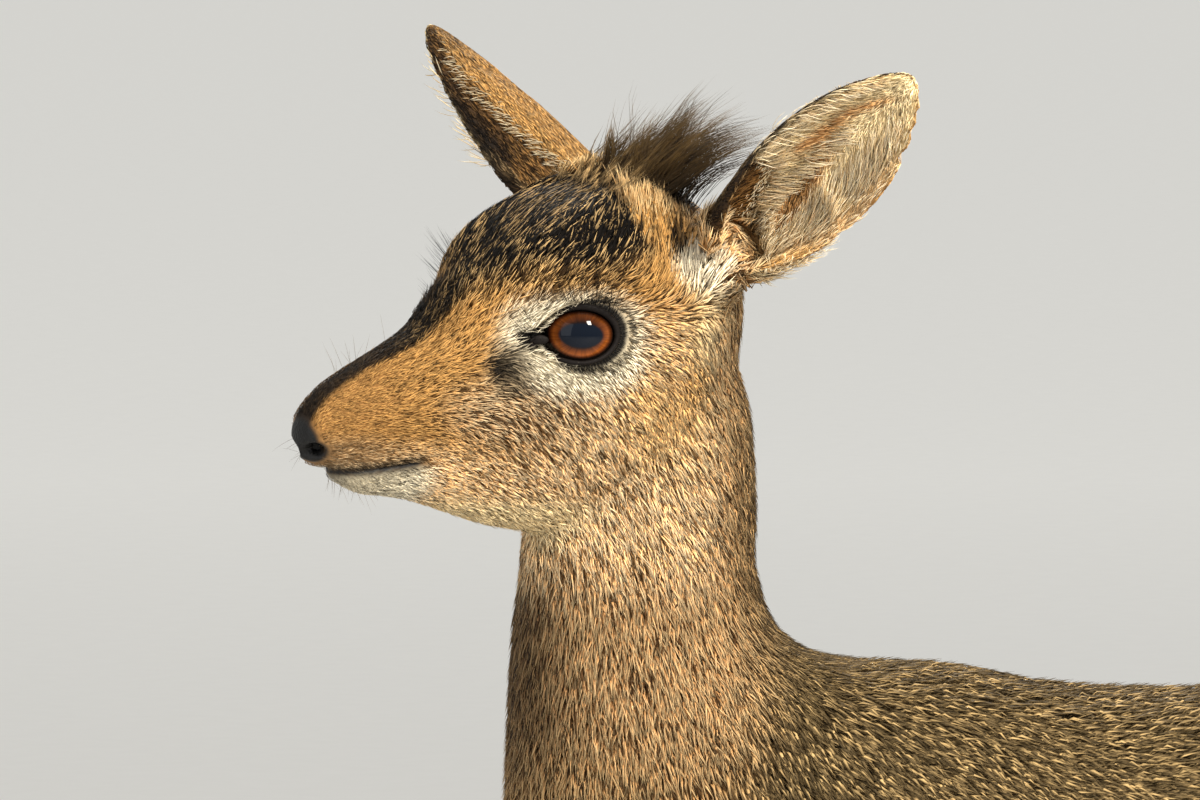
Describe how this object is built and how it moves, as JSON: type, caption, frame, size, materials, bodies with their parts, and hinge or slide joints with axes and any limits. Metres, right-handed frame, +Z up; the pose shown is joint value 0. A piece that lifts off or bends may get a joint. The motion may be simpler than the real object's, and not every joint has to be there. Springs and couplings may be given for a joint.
{
  "type": "dik dik",
  "caption": "Life-size model of a standing female dik dik, a very small antelope with big upright ears, a long soft snout and a tuft of hair on its crown, head turned to its left.",
  "frame": {"origin": "on the ground, below the middle of the bounding box", "axes": "+Z up, -X the way the body faces, -Y towards its left side; the head is turned to the left"},
  "size_m": [0.4553, 0.1208, 0.5438],
  "materials": {
    "coat": "short grizzled fur",
    "face": "short tan fur",
    "ears": "thin skin with pale hair inside",
    "crest": "long dark hair",
    "eyes": "wet gloss",
    "hooves": "dull horn"
  },
  "bodies": {
    "root": {"ear_left": "ears", "ear_right": "ears", "crest": "crest", "eye_left": "eyes", "eye_right": "eyes", "foreleg_left": "coat", "hoof_foreleg_left_a": "hooves", "hoof_foreleg_left_b": "hooves", "foreleg_right": "coat", "hoof_foreleg_right_a": "hooves", "hoof_foreleg_right_b": "hooves", "hindleg_left": "coat", "hoof_hindleg_left_a": "hooves", "hoof_hindleg_left_b": "hooves", "hindleg_right": "coat", "hoof_hindleg_right_a": "hooves", "hoof_hindleg_right_b": "hooves", "head": "face", "neck": "coat", "tail": "coat", "torso": "coat"}
  },
  "joints": []
}
